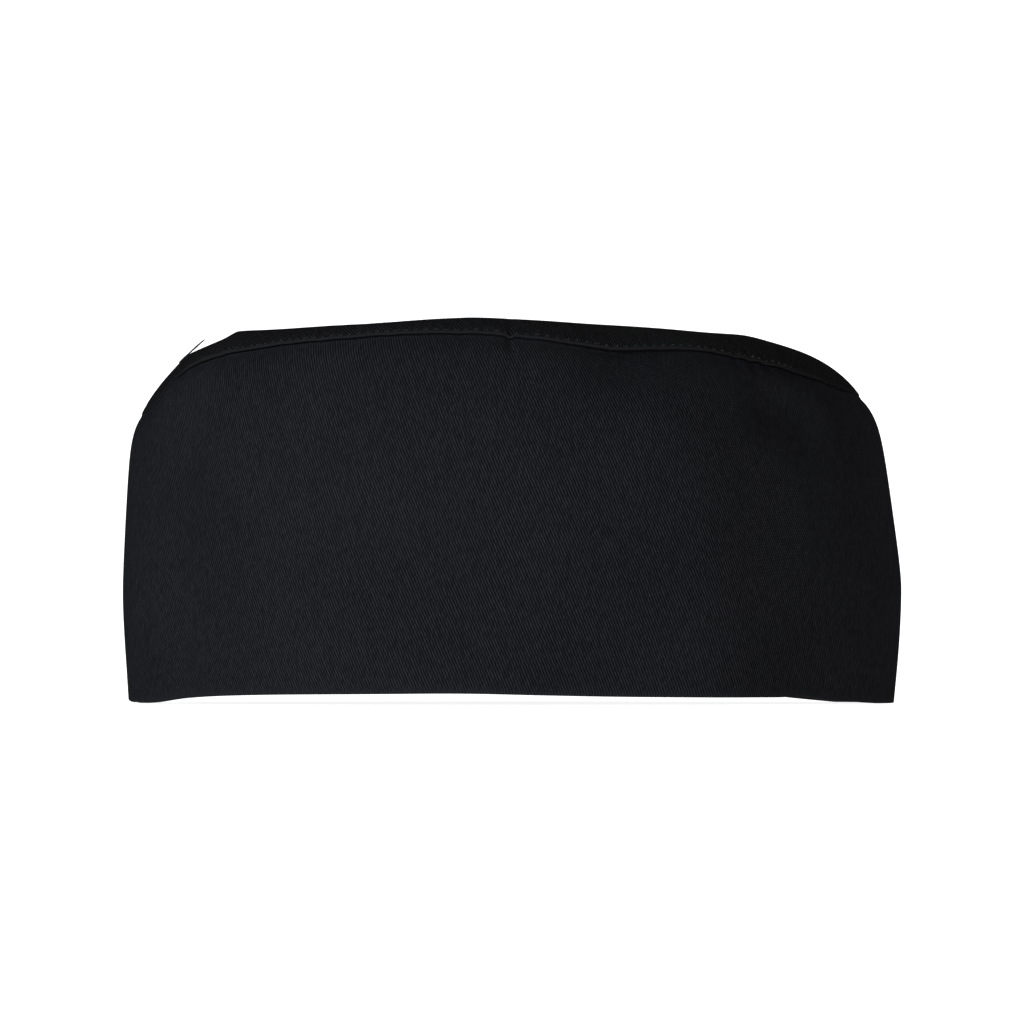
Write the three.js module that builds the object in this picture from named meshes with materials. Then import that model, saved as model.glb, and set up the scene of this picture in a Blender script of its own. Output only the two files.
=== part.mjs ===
// A soft round chef hat: a tall side band of doubled twill with a flat top panel sewn onto it.
// Sizes are in millimetres. The front faces -Y, the viewer's right is +X, up is +Z,
// and the hat stands on z = 0 with its centre on the Z axis.
import * as THREE from 'three';
import { LoftGeometry } from 'three/addons/geometries/LoftGeometry.js';

// The widest part of the band, and its height as a share of the way from the hem to the seam.
const BELLY_RADIUS = 93.5;
const BELLY_LEVEL = 0.37;

// Cloth. The band is two layers with a turned hem, the top panel one layer with a turned edge.
const BAND_WALL = 2.0;
const PANEL_WALL = 1.5;

// The top panel's folded edge stands out over the band's top, which stops just under it.
const EDGE_OVERHANG = 0.25;
const EDGE_THICKNESS = 0.8;
const EDGE_ROUNDING = 0.15;
const SEAM_GAP = 0.3;

// The top panel is nearly flat, and falls away slowly on both sides of a soft ridge that runs from
// front to back, a little left of the middle.
const CROWN_HEIGHT = 89.85;
const RIDGE_X = -10;
const RIDGE_SOFTNESS = 3;
const LEFT_FALL = 0.042;
const RIGHT_FALL = 0.048;

// How it rises from its edge: at the sides in one steep curve, and in front and behind at this slope
// up to a rounded corner.
const SIDE_STEEPNESS = 9.4;
const FRONT_SLOPE = 0.7;
const CORNER_SHARPNESS = 4;

// Steps around the hat.
const SEGMENTS = 120;

// One row for each upright section. turn is its angle from the front towards the right, in degrees.
// hem and seam are the heights of the band's two edges, where below zero the hem is pressed flat
// on the surface. lean is how far the seam stands in from the belly, and tilt the share of it that
// comes steadily from the belly up. The rest comes in the curl under the seam. draw is how far the
// hem stands in from the belly.
const SECTIONS = [
  { turn: -90, hem: -0.4, seam: 69.0, lean: 4.35, tilt: 0.41, draw: 1.3 },
  { turn: -83, hem: -0.3, seam: 69.1, lean: 4.4, tilt: 0.41, draw: 1.3 },
  { turn: -76, hem: -0.2, seam: 69.8, lean: 4.5, tilt: 0.41, draw: 1.3 },
  { turn: -70, hem: 0.0, seam: 72.3, lean: 4.65, tilt: 0.4, draw: 1.4 },
  { turn: -65, hem: 0.4, seam: 75.9, lean: 4.9, tilt: 0.39, draw: 1.5 },
  { turn: -57, hem: 1.4, seam: 80.0, lean: 5.4, tilt: 0.38, draw: 1.6 },
  { turn: -42, hem: 2.1, seam: 83.0, lean: 6.1, tilt: 0.37, draw: 1.8 },
  { turn: -20, hem: 2.4, seam: 85.2, lean: 6.7, tilt: 0.38, draw: 1.9 },
  { turn: -7, hem: 2.5, seam: 85.5, lean: 7.0, tilt: 0.4, draw: 1.9 },
  { turn: 5, hem: 2.1, seam: 84.0, lean: 7.2, tilt: 0.4, draw: 1.9 },
  { turn: 15, hem: 1.8, seam: 82.0, lean: 7.5, tilt: 0.42, draw: 1.9 },
  { turn: 30, hem: 1.6, seam: 82.0, lean: 7.9, tilt: 0.45, draw: 1.9 },
  { turn: 45, hem: 1.5, seam: 79.2, lean: 8.3, tilt: 0.48, draw: 1.9 },
  { turn: 58, hem: 0.7, seam: 76.2, lean: 8.9, tilt: 0.52, draw: 1.9 },
  { turn: 70, hem: 0.1, seam: 74.2, lean: 9.5, tilt: 0.57, draw: 1.8 },
  { turn: 90, hem: -0.4, seam: 73.4, lean: 9.8, tilt: 0.6, draw: 1.8 },
  { turn: 115, hem: -0.2, seam: 75.0, lean: 8.5, tilt: 0.53, draw: 1.8 },
  { turn: 145, hem: 1.9, seam: 80.5, lean: 7.3, tilt: 0.43, draw: 1.9 },
  { turn: 180, hem: 2.5, seam: 83.0, lean: 6.7, tilt: 0.38, draw: 1.9 },
  { turn: 215, hem: 2.7, seam: 81.0, lean: 6.1, tilt: 0.36, draw: 1.8 },
  { turn: 245, hem: 0.9, seam: 74.0, lean: 5.1, tilt: 0.38, draw: 1.5 },
];
const CURL = 11;
const DRAW_BEND = 1.6;
const BELLY_SOFTNESS = 0.12;

// One row for each dent in the band: where it is, half its size each way, and how deep it goes.
const DENTS = [
  { turn: 43, height: 68.5, halfWidth: 8.5, halfHeight: 6.5, depth: 3.0 },
  { turn: 16, height: 76.0, halfWidth: 11.0, halfHeight: 4.0, depth: 1.8 },
  { turn: -56, height: 38.0, halfWidth: 7.0, halfHeight: 42.0, depth: 1.2 },
];

// One row for each soft upright fold in the band: where its back runs, half its width, and how far
// it stands out.
const FOLDS = [
  { seamTurn: -72, hemTurn: -72, halfWidth: 12.0, rise: 0.9 },
  { seamTurn: 22, hemTurn: 32.5, halfWidth: 15.0, rise: 2.2 },
  { seamTurn: 96, hemTurn: 128, halfWidth: 14.0, rise: 0.6 },
  { seamTurn: 172, hemTurn: 161, halfWidth: 12.0, rise: 0.5 },
  { seamTurn: -128, hemTurn: -150, halfWidth: 16.0, rise: 0.7 },
];
const FOLD_FADE = 16;

// One row for each soft fold across the top panel, from front to back at the given x. softness is
// half the width of the round on its back. A rise below zero is a hollow.
const CREASES = [
  { x: -78, halfWidth: 4.5, softness: 0.3, rise: 1.85 },
  { x: -65, halfWidth: 7.0, softness: 0.3, rise: 2.45 },
  { x: -31, halfWidth: 9.0, softness: 6.0, rise: -0.4 },
  { x: 55, halfWidth: 5.5, softness: 5.0, rise: 1.1 },
];

// The rings that each piece is lofted through. For the band, level runs from the hem at 0 to the
// seam at 1. For the top panel, inset runs from its edge at 0 to its middle at 1.
const OUTER_LEVELS = [0, 0.04, 0.14, 0.26, 0.37, 0.48, 0.59, 0.69, 0.77, 0.84, 0.9, 0.95, 1];
const INNER_LEVELS = [1, 0.92, 0.82, 0.68, 0.4, 0];
const UNDER_INSETS = [1, 0.8, 0.5, 0.25, 0.1, 0.04, 0];
const UPPER_INSETS = [0, 0.02, 0.04, 0.06, 0.09, 0.14, 0.22, 0.35, 0.55, 0.8, 1];

const CLOTH = new THREE.MeshStandardMaterial({ color: 0x1d1e20, roughness: 0.95, metalness: 0 });

// The value of one column of the sections at any turn: a cubic through the rows, closed on itself.
function sectionValue(column, turn) {
  const count = SECTIONS.length;
  const first = SECTIONS[0].turn;
  const wrapped = THREE.MathUtils.euclideanModulo(turn - first, 360) + first;
  const index = SECTIONS.findLastIndex((row) => row.turn <= wrapped);
  const value = (i) => SECTIONS[(i + count) % count][column];
  const place = (i) => SECTIONS[(i + count) % count].turn + 360 * Math.floor(i / count);
  const slope = (i) => (value(i + 1) - value(i - 1)) / (place(i + 1) - place(i - 1));
  const width = place(index + 1) - place(index);
  const t = (wrapped - place(index)) / width;
  const start = value(index) * (1 + 2 * t) * (1 - t) ** 2 + slope(index) * width * t * (1 - t) ** 2;
  const end = value(index + 1) * t * t * (3 - 2 * t) + slope(index + 1) * width * t * t * (t - 1);
  return start + end;
}

// The distance round the belly from one turn to another.
function alongBand(turn, from) {
  const angle = THREE.MathUtils.euclideanModulo(turn - from + 180, 360) - 180;
  return THREE.MathUtils.degToRad(angle) * BELLY_RADIUS;
}

// How far the dents push the band in at this turn and height.
function dentDepth(turn, height) {
  let depth = 0;
  for (const dent of DENTS) {
    const across = alongBand(turn, dent.turn) / dent.halfWidth;
    const up = (height - dent.height) / dent.halfHeight;
    depth += dent.depth * Math.exp(-across * across - up * up);
  }
  return depth;
}

// How far the folds stand out at this turn and height. They fade away under the seam.
function foldRise(turn, height, top) {
  let rise = 0;
  for (const fold of FOLDS) {
    const back = fold.hemTurn + ((fold.seamTurn - fold.hemTurn) * height) / top;
    const across = alongBand(turn, back) / fold.halfWidth;
    rise += fold.rise * Math.exp(-across * across);
  }
  return rise * (1 - Math.exp(-(((top - height) / FOLD_FADE) ** 2)));
}

// A point at this turn, distance from the axis and height.
function polar(turn, radius, height) {
  const angle = THREE.MathUtils.degToRad(turn);
  return new THREE.Vector3(radius * Math.sin(angle), -radius * Math.cos(angle), height);
}

function seamRadius(turn) {
  return BELLY_RADIUS - sectionValue('lean', turn);
}

// A straight rise from zero that starts gently.
function softened(share) {
  return Math.hypot(share, BELLY_SOFTNESS) - BELLY_SOFTNESS;
}

// A point of the band at this turn and level, the given distance in from its outer face.
function bandPoint(turn, level, inwards) {
  const hem = Math.max(0, sectionValue('hem', turn));
  const top = sectionValue('seam', turn) - SEAM_GAP;
  const height = hem + (top - hem) * level;
  const below = Math.max(0, (BELLY_LEVEL - level) / BELLY_LEVEL);
  const above = Math.max(0, (level - BELLY_LEVEL) / (1 - BELLY_LEVEL));
  const drawnIn = sectionValue('draw', turn) * below ** DRAW_BEND;
  const tilt = sectionValue('tilt', turn);
  const steady = softened(above) / softened(1);
  const leaning = sectionValue('lean', turn) * (tilt * steady + (1 - tilt) * above ** CURL);
  const relief = foldRise(turn, height, top) - dentDepth(turn, height);
  return polar(turn, BELLY_RADIUS - drawnIn - leaning + relief - inwards, height);
}

// The height of the top panel's crown above this x.
function crownHeight(x) {
  const off = x - RIDGE_X;
  const fall = off < 0 ? LEFT_FALL : RIGHT_FALL;
  let height = CROWN_HEIGHT - fall * (Math.hypot(off, RIDGE_SOFTNESS) - RIDGE_SOFTNESS);
  for (const crease of CREASES) {
    const away = Math.hypot(x - crease.x, crease.softness) - crease.softness;
    height += crease.rise * Math.exp(-away / crease.halfWidth);
  }
  return height;
}

// A straight rise that turns level at 1 round a corner.
function cornered(run) {
  return run / (1 + run ** CORNER_SHARPNESS) ** (1 / CORNER_SHARPNESS);
}

// The share of its whole rise that the top panel has made this far in from its edge.
function riseShare(turn, inset, edgeRadius, wholeRise) {
  const side = 1 - (1 - inset) ** SIDE_STEEPNESS;
  const wholeRun = (edgeRadius * FRONT_SLOPE) / wholeRise;
  const front = cornered(wholeRun * inset) / cornered(wholeRun);
  return THREE.MathUtils.lerp(side, front, Math.cos(THREE.MathUtils.degToRad(turn)) ** 2);
}

// A point of a face of the top panel. edgeRadius and edgeHeight are the face's own at its edge,
// and below is how far the face lies under the crown.
function panelPoint(turn, inset, edgeRadius, edgeHeight, below) {
  const radius = edgeRadius * (1 - inset);
  const crown = crownHeight(polar(turn, radius, 0).x) - below;
  const wholeRise = crown - edgeHeight;
  return polar(turn, radius, edgeHeight + wholeRise * riseShare(turn, inset, edgeRadius, wholeRise));
}

function panelUpperPoint(turn, inset) {
  const edgeHeight = sectionValue('seam', turn) + EDGE_THICKNESS;
  return panelPoint(turn, inset, seamRadius(turn) + EDGE_OVERHANG, edgeHeight, 0);
}

function panelUnderPoint(turn, inset) {
  const edgeHeight = sectionValue('seam', turn);
  return panelPoint(turn, inset, seamRadius(turn) - BAND_WALL, edgeHeight, PANEL_WALL);
}

// The underside of the folded edge, and the round of its outer side.
function panelEdgePoint(turn, outwards, up) {
  return polar(turn, seamRadius(turn) + EDGE_OVERHANG + outwards, sectionValue('seam', turn) + up);
}

// A closed ring of points, one for each step around the hat.
function ring(pointAt) {
  const points = [];
  for (let i = 0; i < SEGMENTS; i += 1) {
    points.push(pointAt((i * 360) / SEGMENTS));
  }
  return points;
}

// Up the outer face, over the top edge, down the inner face and back along the hem.
function sideBand() {
  const rings = OUTER_LEVELS.map((level) => ring((turn) => bandPoint(turn, level, 0)));
  for (const level of INNER_LEVELS) {
    rings.push(ring((turn) => bandPoint(turn, level, BAND_WALL)));
  }
  rings.push(rings[0]);
  const mesh = new THREE.Mesh(new LoftGeometry(rings), CLOTH);
  mesh.name = 'side_band';
  return mesh;
}

// Out along the underside, round the folded edge and back over the top to the middle.
function crownPanel() {
  const rings = UNDER_INSETS.map((inset) => ring((turn) => panelUnderPoint(turn, inset)));
  rings.push(ring((turn) => panelEdgePoint(turn, 0, 0)));
  rings.push(ring((turn) => panelEdgePoint(turn, EDGE_ROUNDING, EDGE_THICKNESS / 2)));
  for (const inset of UPPER_INSETS) {
    rings.push(ring((turn) => panelUpperPoint(turn, inset)));
  }
  const mesh = new THREE.Mesh(new LoftGeometry(rings), CLOTH);
  mesh.name = 'crown_panel';
  return mesh;
}

const hat = new THREE.Group();
hat.add(sideBand(), crownPanel());

export default hat;
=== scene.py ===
import math

import bpy
import numpy as np
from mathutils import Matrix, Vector


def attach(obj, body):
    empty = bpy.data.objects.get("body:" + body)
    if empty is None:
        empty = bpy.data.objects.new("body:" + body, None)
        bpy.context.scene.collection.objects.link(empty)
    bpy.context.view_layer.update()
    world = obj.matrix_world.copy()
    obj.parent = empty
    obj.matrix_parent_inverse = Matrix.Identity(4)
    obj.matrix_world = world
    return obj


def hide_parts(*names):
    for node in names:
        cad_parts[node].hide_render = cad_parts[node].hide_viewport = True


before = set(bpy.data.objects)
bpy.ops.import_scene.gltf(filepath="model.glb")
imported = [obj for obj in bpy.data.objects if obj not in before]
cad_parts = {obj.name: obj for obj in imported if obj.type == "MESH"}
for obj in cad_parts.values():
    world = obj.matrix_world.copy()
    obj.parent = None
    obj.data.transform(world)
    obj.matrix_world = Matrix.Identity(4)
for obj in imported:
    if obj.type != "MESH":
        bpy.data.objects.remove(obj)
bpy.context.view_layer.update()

# The hat is worked out in millimetres and scaled to metres as each mesh is made.
MM = 0.001

# The hat's form, with the same named values as the part's source. turn is the angle from the
# front towards the right, in degrees.
BELLY_RADIUS = 93.5
BELLY_LEVEL = 0.37
BAND_WALL = 2.0
PANEL_WALL = 1.5
EDGE_OVERHANG = 0.25
SEAM_GAP = 0.3
CROWN_HEIGHT = 89.85
RIDGE_X = -10
RIDGE_SOFTNESS = 3
LEFT_FALL = 0.042
RIGHT_FALL = 0.048
SIDE_STEEPNESS = 9.4
FRONT_SLOPE = 0.7
CORNER_SHARPNESS = 4

# turn, hem height, seam height, lean inwards at the seam, share of it that comes steadily, and how
# far the hem stands in from the belly
SECTION_COLUMNS = ("hem", "seam", "lean", "tilt", "draw")
SECTIONS = (
    (-90, -0.4, 69.0, 4.35, 0.41, 1.3),
    (-83, -0.3, 69.1, 4.4, 0.41, 1.3),
    (-76, -0.2, 69.8, 4.5, 0.41, 1.3),
    (-70, 0.0, 72.3, 4.65, 0.4, 1.4),
    (-65, 0.4, 75.9, 4.9, 0.39, 1.5),
    (-57, 1.4, 80.0, 5.4, 0.38, 1.6),
    (-42, 2.1, 83.0, 6.1, 0.37, 1.8),
    (-20, 2.4, 85.2, 6.7, 0.38, 1.9),
    (-7, 2.5, 85.5, 7.0, 0.4, 1.9),
    (5, 2.1, 84.0, 7.2, 0.4, 1.9),
    (15, 1.8, 82.0, 7.5, 0.42, 1.9),
    (30, 1.6, 82.0, 7.9, 0.45, 1.9),
    (45, 1.5, 79.2, 8.3, 0.48, 1.9),
    (58, 0.7, 76.2, 8.9, 0.52, 1.9),
    (70, 0.1, 74.2, 9.5, 0.57, 1.8),
    (90, -0.4, 73.4, 9.8, 0.6, 1.8),
    (115, -0.2, 75.0, 8.5, 0.53, 1.8),
    (145, 1.9, 80.5, 7.3, 0.43, 1.9),
    (180, 2.5, 83.0, 6.7, 0.38, 1.9),
    (215, 2.7, 81.0, 6.1, 0.36, 1.8),
    (245, 0.9, 74.0, 5.1, 0.38, 1.5),
)
CURL = 11
DRAW_BEND = 1.6
BELLY_SOFTNESS = 0.12

# turn, height, half width, half height, depth
DENTS = (
    (43, 68.5, 8.5, 6.5, 3.0),
    (16, 76.0, 11.0, 4.0, 1.8),
    (-56, 38.0, 7.0, 42.0, 1.2),
)

# turn at the seam, turn at the hem, half width, rise
FOLDS = (
    (-72, -72, 12.0, 0.9),
    (22, 32.5, 15.0, 2.2),
    (96, 128, 14.0, 0.6),
    (172, 161, 12.0, 0.5),
    (-128, -150, 16.0, 0.7),
)
FOLD_FADE = 16

# x, half width, softness, rise
CREASES = (
    (-78, 4.5, 0.3, 1.85),
    (-65, 7.0, 0.3, 2.45),
    (-31, 9.0, 6.0, -0.4),
    (55, 5.5, 5.0, 1.1),
)

# Cloth detail that is too fine for the solids. Each mesh has this many columns round the hat, the
# first of them at the band's closing seam.
COLUMNS = 720
BACK_SEAM_TURN = 180

# The band's edges: its hem is a flat roll. Its top edge is rounder in front than at the sides, where
# most of the gap to the panel closes. Its inner face comes to the top edge over the last stretch.
HEM_ROLL = 0.6
EDGE_ROUND = 0.45
EDGE_ROUND_LOST = 0.38
GAP_CLOSED = 0.8
INNER_SETTLE = 6

# The panel's turned edge, how many times its overhang it is drawn in at the two sides, and how far
# from the hat's axis its last ring lies.
EDGE_ROLL = 0.32
OVERHANG_LOST = 1.6
LAST_RING_RADIUS = 1.0

# Where the rings lie. The levels run from 0 to 1, each stretch given as (end, steps), and the
# angles are those at which the rings go round the rounded edges.
BAND_OUTER_LEVELS = ((0.1, 12), (0.84, 30), (1.0, 28))
BAND_INNER_LEVELS = ((0.2, 8), (0.9, 16), (1.0, 4))
PANEL_UPPER_LEVELS = ((0.06, 22), (0.25, 16), (1.0, 26))
PANEL_UNDER_LEVELS = ((0.1, 6), (0.4, 6), (0.99, 8))
HEM_ANGLES = (4, 15, 30, 50, 75, 105, 130, 150, 165, 176)
EDGE_ANGLES = (30, 60, 90)
ROLL_ANGLES = (0, 22, 45, 68, 90)

# How flat the weave is pressed at the hem and beside the seam, and how far from there.
HEM_PRESSED = 0.5
HEM_PRESSED_REACH = 1.3
SEAM_PRESSED = 0.3
SEAM_PRESSED_REACH = 1.6

# The topstitches. How far they stand and sink is in radii of their thread.
STITCH_COUNT = 230
STITCH_LENGTH = 1.45
STITCH_INSET = 0.7
STITCH_POINTS = 9
STITCH_SUNK = 1.2
STITCH_TAPER = 0.2
THREAD_RADIUS = 0.11
THREAD_SIDES = 8
PLY_TWIST = 0.5
PLY_DEPTH = 0.13
NORMAL_STEP = 0.05

# What varies from stitch to stitch: its middle value, how much it varies, and how fast.
STITCH_SLANT = (0.05, 0.12, 2.7)
STITCH_STRETCH = (1, 0.06, 1.9)
STITCH_STANDS = (1.9, 0.3, 1.3)

# The groove that the topstitches lie in, shallower between their holes, and the puff inside it.
GROOVE_DEPTH = 0.272
GROOVE_HALF_WIDTH = 0.34
HOLE_DIP = 0.18
PUFF_INSET = 2.7
PUFF_HALF_WIDTH = 1.1
PUFF_RISE = 0.16

# Towards the two sides the sewing and the painted highlight along the panel's edge fade: from this sine
# of the turn, over this much more of it, and by this share. The highlight's width and soft inner side
# follow.
SEWN_FADE = (0.67, 0.15, 0.92)
EDGE_HIGHLIGHT_FADE = (0.82, 0.1, 0.9)
EDGE_HIGHLIGHT_WIDTH = 0.5
EDGE_HIGHLIGHT_SOFTNESS = 0.18

# The band's hollow just under the panel's edge, which is deeper at the tucks.
UNDERCUT_DEPTH = 0.6
UNDERCUT_REACH = 1.7
TUCK_UNDERCUT = 1.3

# The band's closing seam: a groove between two low ridges.
BACK_GROOVE_DEPTH = 0.55
BACK_GROOVE_HALF_WIDTH = 0.6
BACK_RIDGE_RISE = 0.3
BACK_RIDGE_OFFSET = 2.4
BACK_RIDGE_HALF_WIDTH = 1.5

# Waves round the hat: how many, how high they stand, and where they start. The first set puckers
# the seam, the second makes the band's cloth uneven.
SEAM_WAVES = ((101, 0.022, 0.3), (67, 0.03, 1.9), (41, 0.035, 4.4), (23, 0.04, 2.6))
CLOTH_WAVES = ((5, 0.12, 0.9), (8, 0.1, 3.7), (13, 0.08, 5.2), (19, 0.06, 1.1))

# How far the puckers reach from the seam, how strongly the seam's waves and tucks move the cloth
# beside it, in the band and in the panel, and how many degrees the panel's waves are turned.
PUCKER_REACH = 6.0
BAND_PULL = 1.6
BAND_TUCK_PULL = 1.1
PANEL_PULL = 1.5
PANEL_TUCK_PULL = 0.5
PANEL_PULL_SHIFT = 1.3

# The band's unevenness sways round the hat and swells and fades as it climbs.
SWAY_CLIMB = 23
SWAY_TURN = 9
SWELL_RATE = 0.7
SWELL_START = 0.8

# The panel's slack: two low crossed waves, which grow up over a strip along its edge.
SLACK_RISE = 0.2
SLACK_EDGE = 20
SLACK_ACROSS = 13
SLACK_SWAY = 0.6
SLACK_SWAY_LENGTH = 17
SLACK_ALONG = 19
SLACK_SLANT = 41
SLACK_START = 1.2

# Where the sewing has drawn the seam in: its turn, half width, and how far the seam drops there.
TUCKS = (
    (-0.3, 0.8, 0.75),
    (15.5, 1.6, 0.25),
    (37.5, 1.4, 0.3),
    (40.6, 1.2, 0.35),
    (44.2, 1.5, 0.3),
    (-31, 2.0, 0.15),
    (118, 1.6, 0.3),
    (-141, 1.8, 0.35),
    (171, 1.5, 0.25),
)

# Small dips that only the cloth has, with the columns of DENTS.
DIPS = (
    (49.5, 66.0, 7.0, 8.0, 2.3),
    (19, 80.5, 13.0, 3.2, 1.8),
    (17, 74.0, 12.0, 3.5, -0.5),
)

# Small waves in the hem: turn, half width in degrees, and how far they lift it.
HEM_WAVES = (
    (-84, 9, 1.5),
    (48, 3.5, 0.4),
    (57, 4, -0.15),
    (138, 6, 0.3),
    (-128, 7, 0.35),
)

# The loose thread end: where it leaves the panel, the corner of its bend and its tip.
THREAD_END_START = (-79.2, -22.0, 81.0)
THREAD_END_CORNER = (-76.9, -22.5, 83.3)
THREAD_END_TIP = (-73.1, -23.5, 86.5)
THREAD_END_POINTS = 16
THREAD_END_RADIUS = 0.2
THREAD_TIP_RADIUS = 0.14
THREAD_END_TWIST = 0.45
THREAD_END_PLY_DEPTH = 0.15

# The camera of the photograph: its distance in front of the hat's axis, its height over the
# floor, the height that it looks at, and how wide its frame is at the axis, in millimetres. The
# nearest and farthest distances that it sees are in metres.
CAMERA_DISTANCE = 2000
CAMERA_HEIGHT = 10
AIM_HEIGHT = 45.9
FRAME_WIDTH = 246.3
SENSOR_WIDTH = 36
NEAREST_SEEN = 0.01
FARTHEST_SEEN = 100


def section_values(turn):
    """Each column of SECTIONS at these turns: cubics through the rows, closed on themselves."""
    rows = np.array(SECTIONS, float)
    places = np.concatenate([rows[-2:, 0] - 360, rows[:, 0], rows[:2, 0] + 360])
    values = np.concatenate([rows[-2:, 1:], rows[:, 1:], rows[:2, 1:]])
    slopes = np.zeros_like(values)
    slopes[1:-1] = (values[2:] - values[:-2]) / (places[2:] - places[:-2])[:, None]
    wrapped = (turn - rows[0, 0]) % 360 + rows[0, 0]
    low = np.searchsorted(places, wrapped, side="right") - 1
    width = (places[low + 1] - places[low])[..., None]
    t = (wrapped - places[low])[..., None] / width
    start = values[low] * (1 + 2 * t) * (1 - t) ** 2 + slopes[low] * width * t * (1 - t) ** 2
    end = values[low + 1] * t * t * (3 - 2 * t) + slopes[low + 1] * width * t * t * (t - 1)
    return dict(zip(SECTION_COLUMNS, np.moveaxis(start + end, -1, 0)))


def angle_from(turn, centre):
    """The turn from the centre turn, from -180 to 180."""
    return (turn - centre + 180) % 360 - 180


def along_band(turn, centre):
    """Distance round the band from the centre turn."""
    return np.radians(angle_from(turn, centre)) * BELLY_RADIUS


def hump(distance, half_width):
    """1 in the middle, and fading smoothly to 0 on both sides."""
    return np.exp(-((distance / half_width) ** 2))


def waves(turn, table):
    """The sum of a table's waves round the hat."""
    return sum(size * np.sin(count * np.radians(turn) + start) for count, size, start in table)


def dent_depth(turn, height, table):
    """How deep a table's dents are here."""
    depth = np.zeros(np.broadcast(turn, height).shape)
    for at, middle, half_width, half_height, deep in table:
        depth += deep * hump(along_band(turn, at), half_width) * hump(height - middle, half_height)
    return depth


def fold_rise(turn, height, top):
    """How far the slanting folds stand out here. They fade just below the band's top."""
    rise = np.zeros(np.broadcast(turn, height).shape)
    for at_seam, at_hem, half_width, stands in FOLDS:
        back = at_hem + (at_seam - at_hem) * height / top
        rise += stands * hump(along_band(turn, back), half_width)
    return rise * (1 - hump(top - height, FOLD_FADE))


def tucks(turn):
    """How far the tucks in the sewing pull the seam at this turn."""
    return sum(drop * hump(along_band(turn, at), half_width) for at, half_width, drop in TUCKS)


def seam_shift(turn):
    """How far the sewn seam rises or drops from its smooth line."""
    return waves(turn, SEAM_WAVES) - tucks(turn)


def hem_height(turn):
    """The hem's height, with its small waves."""
    lift = sum(rise * hump(angle_from(turn, at), half_width) for at, half_width, rise in HEM_WAVES)
    return np.maximum(0, section_values(turn)["hem"] + lift)


def to_sides(turn):
    """From 0 in front and behind to 1 at the two sides of the hat."""
    return np.sin(np.radians(turn)) ** 4


def polar(turn, radius, height):
    """Points at these turns, distances from the hat's axis and heights."""
    angle = np.radians(turn)
    parts = np.broadcast_arrays(radius * np.sin(angle), -radius * np.cos(angle), height)
    return np.stack(parts, axis=-1)


def softened(share):
    """The share with a soft start, which rounds the belly."""
    return np.hypot(share, BELLY_SOFTNESS) - BELLY_SOFTNESS


def band_radius(turn, height):
    """The outer face of the band at this turn and height, before its fine relief."""
    values = section_values(turn)
    hem = np.maximum(0, values["hem"])
    top = values["seam"] - SEAM_GAP
    level = (height - hem) / (top - hem)
    below = np.clip((BELLY_LEVEL - level) / BELLY_LEVEL, 0, 1)
    above = np.clip((level - BELLY_LEVEL) / (1 - BELLY_LEVEL), 0, 1)
    drawn_in = values["draw"] * below**DRAW_BEND
    steady = softened(above) / softened(1)
    leaning = values["tilt"] * steady + (1 - values["tilt"]) * above**CURL
    relief = fold_rise(turn, height, top) - dent_depth(turn, height, DENTS)
    return BELLY_RADIUS - drawn_in - values["lean"] * leaning + relief


def band_relief(turn, height, top):
    """How far the cloth's fine relief stands out from the band's outer face."""
    under_edge = top - height
    pulled = waves(turn, SEAM_WAVES) * BAND_PULL - tucks(turn) * BAND_TUCK_PULL
    pucker = pulled * np.exp(-under_edge / PUCKER_REACH)
    undercut = UNDERCUT_DEPTH * hump(under_edge, UNDERCUT_REACH) * (1 - to_sides(turn))
    undercut = undercut * (1 + TUCK_UNDERCUT * tucks(turn))
    climb = height / SWAY_CLIMB
    swell = np.sin(climb * SWELL_RATE + SWELL_START)
    uneven = waves(turn + SWAY_TURN * np.sin(climb), CLOTH_WAVES) * swell
    across = along_band(turn, BACK_SEAM_TURN)
    ridges = BACK_RIDGE_RISE * hump(np.abs(across) - BACK_RIDGE_OFFSET, BACK_RIDGE_HALF_WIDTH)
    back_seam = ridges - BACK_GROOVE_DEPTH * hump(across, BACK_GROOVE_HALF_WIDTH)
    return pucker - undercut + uneven + back_seam - dent_depth(turn, height, DIPS)


def faded(turn, fade):
    """1 in front and behind, and less towards the two sides, in a smooth step."""
    start, run, lost = fade
    share = np.clip((np.abs(np.sin(np.radians(turn))) - start) / run, 0, 1)
    return 1 - lost * share**2 * (3 - 2 * share)


def sewn(turn):
    """How plainly the sewing shows, which is less where the shoulders pull it tight at the sides."""
    return faded(turn, SEWN_FADE)


def overhang(turn):
    """How far the panel's edge stands out over the band, which is least at the two sides."""
    return EDGE_OVERHANG * (1 - OVERHANG_LOST * to_sides(turn))


def crown_height(x):
    """The height of the panel's middle stretch, which is a ridge with creases beside it."""
    off = x - RIDGE_X
    fall = np.where(off < 0, LEFT_FALL, RIGHT_FALL)
    height = CROWN_HEIGHT - fall * (np.hypot(off, RIDGE_SOFTNESS) - RIDGE_SOFTNESS)
    for at, half_width, softness, rise in CREASES:
        away = np.hypot(x - at, softness) - softness
        height = height + rise * np.exp(-away / half_width)
    return height


def cornered(run):
    """A slope that turns level at a run of 1."""
    return run / (1 + run**CORNER_SHARPNESS) ** (1 / CORNER_SHARPNESS)


def rise_share(turn, inset, edge_radius, whole_rise):
    """The share of its whole rise that the panel has made this far in from its edge."""
    side = 1 - (1 - inset) ** SIDE_STEEPNESS
    whole_run = edge_radius * FRONT_SLOPE / whole_rise
    front = cornered(whole_run * inset) / cornered(whole_run)
    return side + (front - side) * np.cos(np.radians(turn)) ** 2


def add_object(name, data):
    """An object with this data, in the scene."""
    made = bpy.data.objects.new(name, data)
    bpy.context.scene.collection.objects.link(made)
    return made


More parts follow.
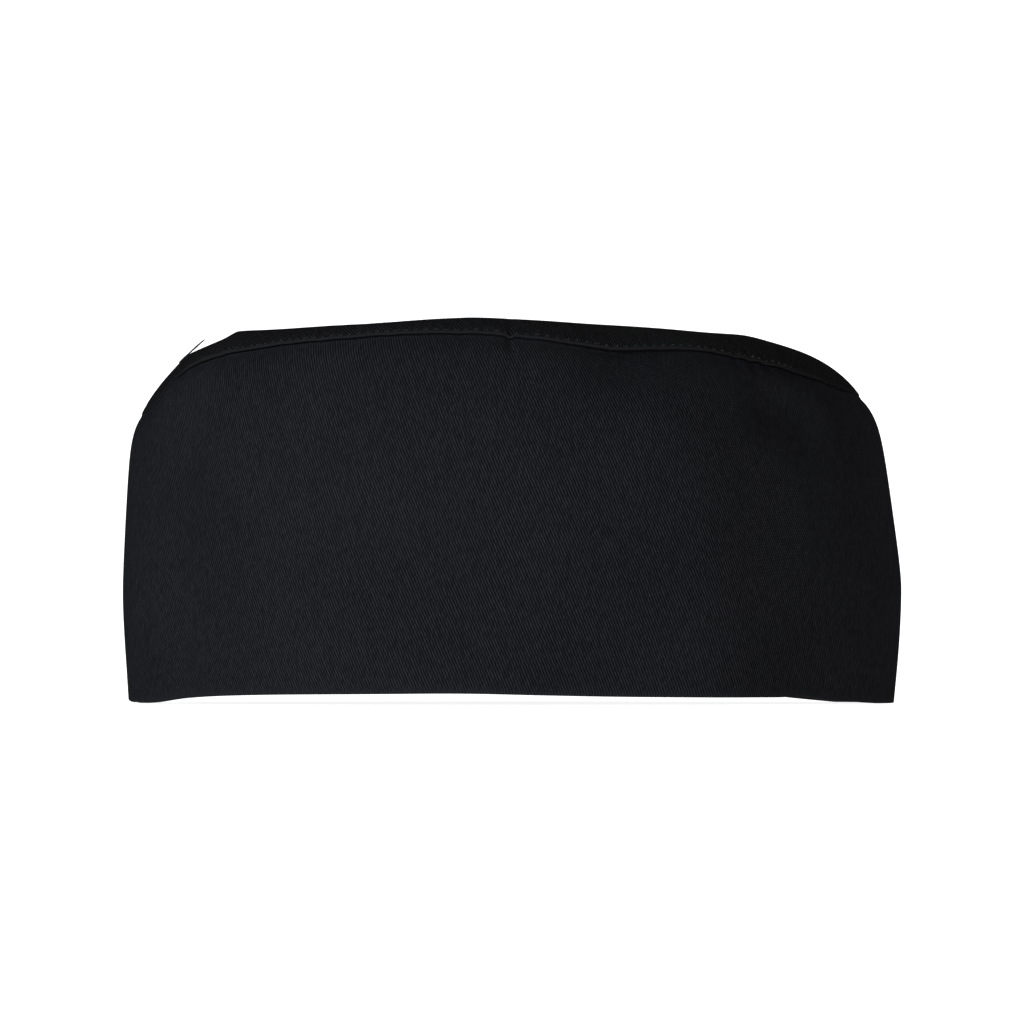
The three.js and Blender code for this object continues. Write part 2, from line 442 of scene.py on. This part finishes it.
def add_mesh(name, points, faces):
    """A smoothly shaded object of these faces, from points in metres."""
    mesh = bpy.data.meshes.new(name)
    mesh.from_pydata(points, [], faces)
    mesh.polygons.foreach_set("use_smooth", [True] * len(mesh.polygons))
    mesh.update()
    return add_object(name, mesh)


def skin(name, grid, cloth, pressed_and_highlight, closed, poles=False):
    """A mesh over rings of points. grid and cloth hold a ring in each row: places, and where the
    cloth's own weave is there, both in millimetres. The third argument gives, from 0 to 1, how flat
    the weave is pressed at the band's hem and seam, and how strong the painted highlight along the
    panel's edge is. The rings close round the hat, and with closed the last row joins the first.
    With poles the first and last rows shrink to a point."""
    rows, columns = grid.shape[:2]
    points = grid.reshape(-1, 3)
    index = np.arange(rows * columns).reshape(rows, columns)
    steps = rows if closed else rows - 1
    here = np.arange(steps)
    above = (here + 1) % rows
    left = np.arange(columns)
    right = (left + 1) % columns
    quads = np.stack(
        [
            index[here][:, left],
            index[here][:, right],
            index[above][:, right],
            index[above][:, left],
        ],
        axis=-1,
    ).reshape(-1, 4)
    corner_cloth = np.stack(
        [
            cloth[:steps, :-1],
            cloth[:steps, 1:],
            cloth[1 : steps + 1, 1:],
            cloth[1 : steps + 1, :-1],
        ],
        axis=-2,
    ).reshape(-1, 2)
    faces = quads.tolist()
    loops = [corner_cloth]
    if poles:
        count = len(points)
        points = np.concatenate([points, grid[:1].mean(axis=1), grid[-1:].mean(axis=1)])
        for pole, row, turned in ((count, 0, True), (count + 1, rows - 1, False)):
            middle = cloth[row, :-1].mean(axis=0)
            for j in left:
                ends = (index[row, j], index[row, right[j]])
                places = (cloth[row, j], cloth[row, j + 1])
                if turned:
                    ends = ends[::-1]
                    places = places[::-1]
                faces.append([int(ends[0]), int(ends[1]), pole])
                loops.append(np.array([places[0], places[1], middle]))
    piece = add_mesh(name, (points * MM).tolist(), faces)
    layer = piece.data.uv_layers.new(name="cloth")
    layer.uv.foreach_set("vector", np.concatenate(loops).astype(np.float32).ravel())
    flatness = np.zeros(len(points), np.float32)
    flatness[: rows * columns] = np.broadcast_to(pressed_and_highlight, (rows, columns)).ravel()
    # This attribute carries how flat the weave is pressed and the painted highlight along the panel's
    # edge.
    piece.data.attributes.new("pressed_and_highlight", "FLOAT", "POINT").data.foreach_set("value", flatness)
    return piece


def spread(stretches):
    """Levels from 0 to 1 with a chosen count of steps in each stretch, given as (end, steps)."""
    levels = [0.0]
    for end, steps in stretches:
        levels.extend(np.linspace(levels[-1], end, steps + 1)[1:])
    return np.array(levels)[:, None]


def ring_turns():
    """The turn of each column of a mesh, from the centre back round the hat."""
    return np.arange(COLUMNS) * 360 / COLUMNS + BACK_SEAM_TURN


def path_lengths(grid):
    """Distance along each column from its first row."""
    steps = np.linalg.norm(np.diff(grid, axis=0), axis=-1)
    return np.concatenate([np.zeros((1, grid.shape[1])), np.cumsum(steps, axis=0)])


def make_band():
    """The band's cloth: its outer face, top edge, inner face and hem, in rings that close."""
    turn = ring_turns()
    values = section_values(turn)
    low = hem_height(turn) + HEM_ROLL
    top = values["seam"] - SEAM_GAP * (1 - GAP_CLOSED * to_sides(turn)) + seam_shift(turn)
    edge = EDGE_ROUND - EDGE_ROUND_LOST * to_sides(turn)
    high = top - edge

    height = low + (high - low) * spread(BAND_OUTER_LEVELS)
    outer_radius = band_radius(turn, height) + band_relief(turn, height, top)
    outer = polar(turn, outer_radius, height)

    outer_top = outer_radius[-1]
    inner_top = outer_top - BAND_WALL
    bend = np.radians(EDGE_ANGLES)[:, None]
    over_out = polar(turn, outer_top - edge * (1 - np.cos(bend)), high + edge * np.sin(bend))
    over_in = polar(turn, inner_top + edge * (1 - np.sin(bend)), high + edge * np.cos(bend))

    inner_height = low + (high - low) * spread(BAND_INNER_LEVELS)[::-1]
    inner_radius = band_radius(turn, inner_height) - dent_depth(turn, inner_height, DIPS) - BAND_WALL
    settle = np.clip((inner_height - (high - INNER_SETTLE)) / INNER_SETTLE, 0, 1)
    inner_radius = inner_radius * (1 - settle) + inner_top * settle
    inner = polar(turn, inner_radius, inner_height)

    fold = np.radians(HEM_ANGLES)[:, None]
    middle = (outer_radius[0] + inner_radius[-1]) / 2
    reach = (outer_radius[0] - inner_radius[-1]) / 2
    flat_out = np.sign(np.cos(fold)) * np.sqrt(np.abs(np.cos(fold)))
    hem_fold = polar(turn, middle - reach * flat_out, low - HEM_ROLL * np.sqrt(np.sin(fold)))

    grid = np.concatenate([outer, over_out, over_in, inner, hem_fold])
    looped = np.concatenate([grid, grid[:1]])
    round_cloth = np.radians(np.arange(COLUMNS + 1) * 360 / COLUMNS) * BELLY_RADIUS
    up_cloth = path_lengths(looped)
    up_cloth = np.concatenate([up_cloth, up_cloth[:, :1]], axis=1)
    cloth = np.stack(np.broadcast_arrays(round_cloth, up_cloth), axis=-1)
    at_hem = HEM_PRESSED * hump(grid[..., 2] - (low - HEM_ROLL), HEM_PRESSED_REACH)
    at_seam = SEAM_PRESSED * hump(top - grid[..., 2], SEAM_PRESSED_REACH)
    pressed_and_highlight = at_hem + at_seam
    return skin("side_band_cloth", grid, cloth, pressed_and_highlight, closed=True)


def panel_profile(turn, inwards):
    """The top panel's upper face, this far in from its edge, before its relief."""
    values = section_values(turn)
    edge_radius = BELLY_RADIUS - values["lean"] + overhang(turn)
    seam = values["seam"] + seam_shift(turn) * np.exp(-inwards / PUCKER_REACH)
    radius = edge_radius - inwards
    crown = crown_height(radius * np.sin(np.radians(turn)))
    edge_out = 1 - np.clip(inwards / EDGE_ROLL, 0, 1)
    rolled = EDGE_ROLL + EDGE_ROLL * np.sqrt(1 - edge_out**2)
    whole_rise = crown - seam - 2 * EDGE_ROLL
    risen = rise_share(turn, inwards / edge_radius, edge_radius, whole_rise)
    return polar(turn, radius, seam + rolled + whole_rise * risen)


def panel_relief(turn, inwards):
    """How far the panel's upper face stands out from its smooth form."""
    radius = BELLY_RADIUS - inwards
    x = radius * np.sin(np.radians(turn))
    y = radius * np.cos(np.radians(turn))
    holes = np.cos(np.radians(turn - BACK_SEAM_TURN) * STITCH_COUNT)
    between_holes = 1 - HOLE_DIP - HOLE_DIP * holes
    groove = GROOVE_DEPTH * hump(inwards - STITCH_INSET, GROOVE_HALF_WIDTH) / between_holes
    puff = PUFF_RISE * hump(inwards - PUFF_INSET, PUFF_HALF_WIDTH) * between_holes
    pulled = waves(turn + PANEL_PULL_SHIFT, SEAM_WAVES) * PANEL_PULL - tucks(turn) * PANEL_TUCK_PULL
    pucker = pulled * hump(inwards, PUCKER_REACH) * np.clip(inwards, 0, 1)
    across = np.sin(x / SLACK_ACROSS + SLACK_SWAY * np.sin(y / SLACK_SWAY_LENGTH))
    along = np.sin(y / SLACK_ALONG - x / SLACK_SLANT + SLACK_START)
    slack = SLACK_RISE * (across + along) * np.clip(inwards / SLACK_EDGE, 0, 1)
    return (puff - groove) * sewn(turn) + pucker + slack


def surface_normals(grid):
    """Outward normals of rings that run from the edge of the panel to its middle."""
    around = np.roll(grid, -1, axis=1) - np.roll(grid, 1, axis=1)
    inward = np.gradient(grid, axis=0)
    normal = np.cross(around, inward)
    return normal / np.linalg.norm(normal, axis=-1, keepdims=True)


def panel_surface(turn, inwards):
    """The finished upper face over rings that run inwards from the edge."""
    smooth = panel_profile(turn, inwards)
    return smooth + surface_normals(smooth) * panel_relief(turn, inwards)[..., None]


def make_panel():
    """The panel's cloth: its underside, turned edge and upper face, in rings from the middle of the
    underside round the edge to the middle of the top."""
    turn = ring_turns()
    values = section_values(turn)
    edge_radius = BELLY_RADIUS - values["lean"] + overhang(turn)
    seam = values["seam"] + seam_shift(turn)

    curve_in = (1 - np.cos(np.radians(ROLL_ANGLES))) * EDGE_ROLL
    curve_in = np.broadcast_to(curve_in[:, None], (len(ROLL_ANGLES), COLUMNS))
    reach = edge_radius - EDGE_ROLL - LAST_RING_RADIUS
    inwards = np.concatenate([curve_in, EDGE_ROLL + spread(PANEL_UPPER_LEVELS)[1:] * reach])
    upper = panel_surface(turn, inwards)

    bend = np.radians(EDGE_ANGLES[::-1])[:, None]
    under_radius = edge_radius - EDGE_ROLL * (1 - np.cos(bend))
    under_edge = polar(turn, under_radius, seam + EDGE_ROLL * (1 - np.sin(bend)))

    inner_radius = edge_radius - overhang(turn) - BAND_WALL
    inset = spread(PANEL_UNDER_LEVELS)[::-1]
    radius = inner_radius * (1 - inset)
    crown = crown_height(radius * np.sin(np.radians(turn))) - PANEL_WALL
    risen = rise_share(turn, inset, inner_radius, crown - seam)
    under = polar(turn, radius, seam + (crown - seam) * risen)

    grid = np.concatenate([under, under_edge, upper])
    over = path_lengths(grid[len(under) :][::-1])[::-1] + LAST_RING_RADIUS
    beneath = path_lengths(under) + radius[0]
    from_middle = np.concatenate([beneath, over])
    angle = np.radians(np.arange(COLUMNS + 1) * 360 / COLUMNS + BACK_SEAM_TURN)
    from_middle = np.concatenate([from_middle, from_middle[:, :1]], axis=1)
    cloth = np.stack([from_middle * np.sin(angle), -from_middle * np.cos(angle)], axis=-1)
    pressed_and_highlight = np.zeros(grid.shape[:2])
    # Along the panel's turned edge the cloth is painted lighter: a painted highlight where the edge
    # catches the light, fading towards the sides.
    painted_edge_highlight = faded(turn, EDGE_HIGHLIGHT_FADE)
    upper_start = len(under) + len(under_edge)
    pressed_and_highlight[len(under) : upper_start] = painted_edge_highlight
    fading_in = np.clip((EDGE_HIGHLIGHT_WIDTH - inwards) / EDGE_HIGHLIGHT_SOFTNESS, 0, 1)
    pressed_and_highlight[upper_start:] = fading_in * painted_edge_highlight
    return skin("crown_panel_cloth", grid, cloth, pressed_and_highlight, closed=False, poles=True)


def tube(points, radii, twist, plies):
    """The rings of a tube along points, and its faces. plies is how deep the two plies' twist
    cuts into it, as a share of its radius, and twist how far they turn from point to point."""
    sides = THREAD_SIDES
    ahead = np.gradient(points, axis=0)
    ahead /= np.linalg.norm(ahead, axis=1, keepdims=True)
    side = np.cross(ahead, np.array([0.0, 0.0, 1.0]))
    side /= np.linalg.norm(side, axis=1, keepdims=True)
    up = np.cross(side, ahead)
    angle = np.arange(sides) * 2 * math.pi / sides
    turned = angle[None, :] - np.arange(len(points))[:, None] * twist
    radius = np.asarray(radii)[:, None] * (1 + plies * np.cos(2 * turned))
    ring = np.cos(angle)[None, :, None] * side[:, None] + np.sin(angle)[None, :, None] * up[:, None]
    rings = points[:, None] + ring * radius[..., None]
    faces = []
    for i in range(len(points) - 1):
        for j in range(sides):
            k = (j + 1) % sides
            faces.append([i * sides + j, i * sides + k, (i + 1) * sides + k, (i + 1) * sides + j])
    faces.append(list(range(sides))[::-1])
    faces.append([(len(points) - 1) * sides + j for j in range(sides)])
    return rings.reshape(-1, 3), faces


def join_tubes(name, tubes):
    """One piece of all these tubes."""
    points, faces = [], []
    count = 0
    for ring_points, ring_faces in tubes:
        points.append(ring_points)
        faces.extend([[count + i for i in face] for face in ring_faces])
        count += len(ring_points)
    return add_mesh(name, (np.concatenate(points) * MM).tolist(), faces)


def varied(i, setting):
    """A setting's value at the stitch with this number."""
    middle, amount, rate = setting
    return middle + amount * math.sin(i * rate)


def make_stitches():
    """One small twisted tube for each topstitch, dipping into the cloth at both ends."""
    tubes = []
    pitch = 360 / STITCH_COUNT
    steps = np.linspace(-0.5, 0.5, STITCH_POINTS)
    arch = np.cos(steps * math.pi)
    radii = THREAD_RADIUS * (1 - STITCH_TAPER + STITCH_TAPER * arch)
    for i in range(STITCH_COUNT):
        middle = (i + 0.5) * pitch + BACK_SEAM_TURN
        radius_here = BELLY_RADIUS - section_values(np.array(middle))["lean"]
        length = math.degrees(STITCH_LENGTH / radius_here) * varied(i, STITCH_STRETCH)
        turn = middle + steps * length
        inset = STITCH_INSET + varied(i, STITCH_SLANT) * steps * 2
        rings = np.stack([inset - NORMAL_STEP, inset, inset + NORMAL_STEP])
        ground = panel_profile(turn, rings)
        ahead = np.gradient(ground[1], axis=0)
        normal = np.cross(ahead, ground[2] - ground[0])
        normal /= np.linalg.norm(normal, axis=1, keepdims=True)
        stands = varied(i, STITCH_STANDS) * sewn(turn) * np.sqrt(arch) - STITCH_SUNK
        lift = panel_relief(turn, inset) + THREAD_RADIUS * stands
        points = ground[1] + normal * lift[:, None]
        tubes.append(tube(points, radii, PLY_TWIST, PLY_DEPTH))
    return join_tubes("topstitches", tubes)


def make_thread_end():
    """The loose end of the sewing thread that sticks out over the left shoulder of the panel."""
    start = np.array(THREAD_END_START)
    corner = np.array(THREAD_END_CORNER)
    tip = np.array(THREAD_END_TIP)
    t = np.linspace(0, 1, THREAD_END_POINTS)[:, None]
    points = start * (1 - t) ** 2 + corner * 2 * t * (1 - t) + tip * t * t
    radii = np.full(THREAD_END_POINTS, THREAD_END_RADIUS)
    radii[-1] = THREAD_TIP_RADIUS
    return join_tubes("loose_thread_end", [tube(points, radii, THREAD_END_TWIST, THREAD_END_PLY_DEPTH)])


class NodeMaker:
    """Short calls that add nodes to a material's tree."""

    def __init__(self, name):
        self.material = bpy.data.materials.new(name)
        self.material.use_nodes = True
        self.tree = self.material.node_tree
        self.shader = self.tree.nodes["Principled BSDF"]

    def put(self, value, socket):
        """Links the value to the socket if it is another node's output, or else sets it there."""
        if isinstance(value, bpy.types.NodeSocket):
            self.tree.links.new(value, socket)
        else:
            socket.default_value = value

    def node(self, kind, **settings):
        """A node with these settings."""
        made = self.tree.nodes.new(kind)
        for key, value in settings.items():
            setattr(made, key, value)
        return made

    def math(self, operation, *values):
        """The result of a sum of one or two values."""
        made = self.node("ShaderNodeMath", operation=operation)
        for value, socket in zip(values, made.inputs):
            self.put(value, socket)
        return made.outputs[0]

    def ramp(self, value, low, high, to_low, to_high):
        """A smooth step of the value, between two results."""
        made = self.node("ShaderNodeMapRange", interpolation_type="SMOOTHSTEP")
        for given, socket in zip((value, low, high, to_low, to_high), made.inputs):
            self.put(given, socket)
        return made.outputs[0]

    def noise(self, place, scale, detail=2.0, roughness=0.5):
        """Soft noise from 0 to 1, mostly near the middle."""
        made = self.node("ShaderNodeTexNoise")
        self.put(place, made.inputs["Vector"])
        made.inputs["Scale"].default_value = scale
        made.inputs["Detail"].default_value = detail
        made.inputs["Roughness"].default_value = roughness
        return made.outputs["Fac"]

    def scaled_colour(self, colour, factor):
        """The colour, made darker or lighter by the factor."""
        made = self.node("ShaderNodeVectorMath", operation="SCALE")
        made.inputs[0].default_value = colour
        self.put(factor, made.inputs["Scale"])
        return made.outputs[0]


# Two-over-one twill: how far apart its warp and weft yarns lie, how deep its relief is, and how
# far its yarns wander, in millimetres. A higher sharpness makes its ribs narrower.
WARP_PITCH = 0.2333
WEFT_PITCH = 0.55
TWILL_REPEAT = 3
WALE_RELIEF = 0.16
YARN_WANDER = 0.9
RIB_SHARPNESS = 1.6
CLOTH_COLOUR = (0.0102, 0.0104, 0.0119)
# The panel's cloth is a more neutral black than the band's. It is also darker, partly in its own colour
# and partly as painted shade, for the top that the lamps light less.
PANEL_SHADED_COLOUR = (0.0089, 0.0088, 0.0093)
THREAD_COLOUR = (0.0118, 0.012, 0.0132)

# Tones, as shares of the cloth's colour: that of the furrows, which is painted shade, and what the
# ribs, the pressed hem and seam together with the painted highlight along the panel's edge, and the
# lint add to it. Then how much darker the sides of a float are, which is painted shade too, how much
# of the weave goes where it is pressed flat and where the highlight is painted, and how much the
# fuzz adds to the relief.
FURROW_TONE = 0.36
RIB_TONE = 1.62
PRESSED_AND_HIGHLIGHT_TONE = 1.2
LINT_TONE = 2.4
FLOAT_SIDES = 0.16
PRESSED_AND_HIGHLIGHT_LOSS = 0.75
FUZZ_RELIEF = 0.3

# The darkest and lightest factor of single floats, fuzz, slow changes and the thread's fibres, and
# the stretch of a noise that runs from one to the other.
FLOAT_FACTORS = (0.72, 1.28)
FUZZ_FACTORS = (0.82, 1.18)
SLOW_FACTORS = (0.94, 1.06)
FIBRE_FACTORS = (0.7, 1.5)
NOISE_STRETCH = (0.3, 0.7)

# The scale of each noise, the share of it that the fuzz has along the yarn, which draws it out, and
# the lint's own scale and its largest size.
WANDER_SCALE = 0.05
FUZZ_SCALE = 0.9
SLOW_SCALE = 0.035
FIBRE_SCALE = 4000
FUZZ_ALONG = 0.4
LINT_SCALE = 0.17
LINT_SIZE = 0.032


def twill_material(name, colour):
    """Black twill: warp floats in steep diagonal ribs, with shade painted darker in the furrows
    between them and on the sides of each float, uneven yarns, a little lint and slow changes of tone."""
    make = NodeMaker(name)
    uv = make.node("ShaderNodeUVMap", uv_map="cloth").outputs["UV"]
    wander = make.math("SUBTRACT", make.noise(uv, WANDER_SCALE, detail=3.0), 0.5)
    wander = make.math("MULTIPLY", wander, YARN_WANDER)
    parts = make.node("ShaderNodeSeparateXYZ")
    make.put(uv, parts.inputs[0])
    warp = make.math("DIVIDE", make.math("ADD", parts.outputs[0], wander), WARP_PITCH)
    weft = make.math("DIVIDE", parts.outputs[1], WEFT_PITCH)

    # The diagonal rib, from 0 in the furrow to 1 on its back.
    turns = make.math("DIVIDE", make.math("ADD", weft, warp), TWILL_REPEAT)
    rib = make.math("SINE", make.math("MULTIPLY", make.math("FRACT", turns), math.pi))
    rib = make.math("POWER", rib, RIB_SHARPNESS)

    # The single floats in it, each a little lighter or darker than the next.
    yarn = make.math("FLOOR", warp)
    steps = make.math("DIVIDE", make.math("ADD", weft, yarn), TWILL_REPEAT)
    cell = make.node("ShaderNodeCombineXYZ")
    make.put(yarn, cell.inputs[0])
    make.put(make.math("FLOOR", steps), cell.inputs[1])
    chance = make.node("ShaderNodeTexWhiteNoise", noise_dimensions="2D")
    make.put(cell.outputs[0], chance.inputs["Vector"])
    lighter = make.ramp(chance.outputs["Value"], 0.0, 1.0, *FLOAT_FACTORS)
    # Each float's sides are painted darker, as shade where the yarn turns away; the same shape rounds
    # its relief.
    across = make.math("SINE", make.math("MULTIPLY", make.math("FRACT", warp), math.pi))
    rounded = make.math("ADD", make.math("MULTIPLY", across, FLOAT_SIDES), 1 - FLOAT_SIDES)

    # The fuzz of its fibres, the slow changes, and all of them together.
    fibres = make.node("ShaderNodeCombineXYZ")
    make.put(warp, fibres.inputs[0])
    make.put(make.math("MULTIPLY", weft, FUZZ_ALONG), fibres.inputs[1])
    fuzz = make.noise(fibres.outputs[0], FUZZ_SCALE, roughness=0.6)
    slow = make.noise(uv, SLOW_SCALE)
    # The colour runs from painted shade in the furrows to the lighter backs of the ribs, following
    # their relief.
    tone = make.math("MULTIPLY", make.math("MULTIPLY", rib, rounded), lighter)
    tone = make.math("ADD", make.math("MULTIPLY", tone, RIB_TONE), FURROW_TONE)
    tone = make.math("MULTIPLY", tone, make.ramp(fuzz, *NOISE_STRETCH, *FUZZ_FACTORS))
    tone = make.math("MULTIPLY", tone, make.ramp(slow, *NOISE_STRETCH, *SLOW_FACTORS))

    # Where the cloth is pressed flat, and where a highlight is painted along the panel's edge, its
    # weave fades into an even, lighter tone.
    pressed_and_highlight = make.node("ShaderNodeAttribute", attribute_name="pressed_and_highlight").outputs["Fac"]
    loose = make.math("SUBTRACT", 1.0, make.math("MULTIPLY", pressed_and_highlight, PRESSED_AND_HIGHLIGHT_LOSS))
    tone = make.math("MULTIPLY", tone, loose)
    tone = make.math("ADD", tone, make.math("MULTIPLY", pressed_and_highlight, PRESSED_AND_HIGHLIGHT_TONE))

    # Lint: one speck in each cell, of its own size and tone.
    cells = make.node("ShaderNodeTexVoronoi")
    make.put(uv, cells.inputs["Vector"])
    cells.inputs["Scale"].default_value = LINT_SCALE
    pick = make.node("ShaderNodeSeparateColor")
    make.put(cells.outputs["Color"], pick.inputs[0])
    speck_size = make.math("MULTIPLY", pick.outputs[0], LINT_SIZE)
    speck = make.math("LESS_THAN", cells.outputs["Distance"], speck_size)
    lint = make.math("MULTIPLY", speck, make.math("MULTIPLY", pick.outputs[1], LINT_TONE))
    tone = make.math("ADD", tone, lint)
    make.put(make.scaled_colour(colour, tone), make.shader.inputs["Base Color"])

    bump = make.node("ShaderNodeBump")
    bump.inputs["Distance"].default_value = WALE_RELIEF * MM
    bump.inputs["Strength"].default_value = 1.0
    height = make.math("MULTIPLY", rib, rounded)
    height = make.math("ADD", height, make.math("MULTIPLY", fuzz, FUZZ_RELIEF))
    height = make.math("MULTIPLY", height, loose)
    make.put(height, bump.inputs["Height"])
    make.put(bump.outputs[0], make.shader.inputs["Normal"])
    make.shader.inputs["Roughness"].default_value = 0.9
    make.shader.inputs["Specular IOR Level"].default_value = 0.0
    return make.material


def thread_material(name):
    """Black polyester sewing thread, a little glossier than the cloth."""
    make = NodeMaker(name)
    place = make.node("ShaderNodeTexCoord").outputs["Object"]
    fibre = make.ramp(make.noise(place, FIBRE_SCALE), *NOISE_STRETCH, *FIBRE_FACTORS)
    make.put(make.scaled_colour(THREAD_COLOUR, fibre), make.shader.inputs["Base Color"])
    make.shader.inputs["Roughness"].default_value = 0.55
    make.shader.inputs["Specular IOR Level"].default_value = 0.2
    return make.material


# The studio, in metres: a sheet of paper that runs flat under the hat and curves up behind it. It
# glows, more towards the back, and with the lamps' light on it, it is white in the picture.
SHEET_HALF_WIDTH = 1.7
SHEET_FLAT = [-3.0, -1.0, 0.0, 1.0]
BEND_START = 1.9
BEND_RADIUS = 0.6
BEND_POINTS = 16
SHEET_TOP = 1.5
GLOW_STRETCH = (-1.0, 0.8)
FLOOR_GLOW = 0.8
WALL_GLOW = 0.97
STAGE_COLOUR = (0.6, 0.6, 0.6, 1)
WORLD_LIGHT = 0.01

# The lamps, square and soft: name, turn as for the hat's sections, elevation, power and colour.
LAMPS = (
    ("key_left", -35, 12, 39, (0.93, 1.02, 1.06)),
    ("top_right", 50, 65, 4, (1, 1, 1)),
    ("overhead", 0, 80, 5, (1, 1, 1)),
    ("behind", 164, 42, 20, (1, 1, 1)),
)
LAMP_DISTANCE = 2.3
LAMP_SIZE = 0.8
LAMP_AIM = (0, 0, 0.045)


def make_stage():
    """The studio's sheet, which belongs to the stage."""
    bend = np.radians(np.linspace(0, 90, BEND_POINTS))
    depth = SHEET_FLAT + list(BEND_START + BEND_RADIUS * np.sin(bend))
    height = [0] * len(SHEET_FLAT) + list(BEND_RADIUS * (1 - np.cos(bend)))
    depth.append(BEND_START + BEND_RADIUS)
    height.append(SHEET_TOP)
    points = [(x, y, z) for y, z in zip(depth, height) for x in (-SHEET_HALF_WIDTH, SHEET_HALF_WIDTH)]
    faces = [(2 * i, 2 * i + 1, 2 * i + 3, 2 * i + 2) for i in range(len(depth) - 1)]
    sheet = add_mesh("studio_sheet", points, faces)
    make = NodeMaker("studio_white")
    place = make.node("ShaderNodeSeparateXYZ")
    make.put(make.node("ShaderNodeNewGeometry").outputs["Position"], place.inputs[0])
    glow = make.ramp(place.outputs[1], *GLOW_STRETCH, FLOOR_GLOW, WALL_GLOW)
    make.put(glow, make.shader.inputs["Emission Strength"])
    make.shader.inputs["Emission Color"].default_value = (1, 1, 1, 1)
    make.shader.inputs["Base Color"].default_value = STAGE_COLOUR
    make.shader.inputs["Roughness"].default_value = 0.9
    make.shader.inputs["Specular IOR Level"].default_value = 0.0
    sheet.data.materials.append(make.material)


def add_lamp(name, turn, elevation, power, colour):
    """A square soft lamp that faces the hat."""
    data = bpy.data.lights.new(name, "AREA")
    data.shape = "SQUARE"
    data.size = LAMP_SIZE
    data.energy = power
    data.color = colour
    lamp = add_object(name, data)
    around = math.radians(turn)
    up = math.radians(elevation)
    away = Vector((math.sin(around) * math.cos(up), -math.cos(around) * math.cos(up), math.sin(up)))
    lamp.location = Vector(LAMP_AIM) + away * LAMP_DISTANCE
    lamp.rotation_euler = away.to_track_quat("Z", "Y").to_euler()


def light_scene():
    """A faint light from all round, and the lamps."""
    world = bpy.context.scene.world or bpy.data.worlds.new("studio")
    bpy.context.scene.world = world
    world.use_nodes = True
    background = world.node_tree.nodes["Background"]
    background.inputs["Color"].default_value = (1, 1, 1, 1)
    background.inputs["Strength"].default_value = WORLD_LIGHT
    for lamp in LAMPS:
        add_lamp(*lamp)


def place_camera():
    """The camera, where the photograph's stood."""
    data = bpy.data.cameras.new("photo_camera")
    camera = add_object("photo_camera", data)
    place = Vector((0, -CAMERA_DISTANCE, CAMERA_HEIGHT)) * MM
    aim = Vector((0, 0, AIM_HEIGHT)) * MM
    camera.location = place
    camera.rotation_euler = (aim - place).to_track_quat("-Z", "Y").to_euler()
    data.sensor_fit = "HORIZONTAL"
    data.sensor_width = SENSOR_WIDTH
    data.lens = SENSOR_WIDTH * (aim - place).length / (FRAME_WIDTH * MM)
    data.clip_start = NEAREST_SEEN
    data.clip_end = FARTHEST_SEEN
    bpy.context.scene.camera = camera


def dress(piece, material, node=None):
    """Gives a piece its material in a slot, attaches it to the root body, and hides the solid that it
    replaces, if any.
    """
    piece.data.materials.append(material)
    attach(piece, "root")
    if node:
        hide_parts(node)


place_camera()
band_twill = twill_material("black_twill_band", CLOTH_COLOUR)
panel_twill = twill_material("black_twill_panel", PANEL_SHADED_COLOUR)
thread = thread_material("black_thread")
band = make_band()
panel = make_panel()
dress(band, band_twill, "side_band")
dress(panel, panel_twill, "crown_panel")
dress(make_stitches(), thread)
dress(make_thread_end(), thread)
make_stage()
light_scene()

settings = bpy.context.scene.view_settings
settings.view_transform = "Standard"
settings.look = "None"
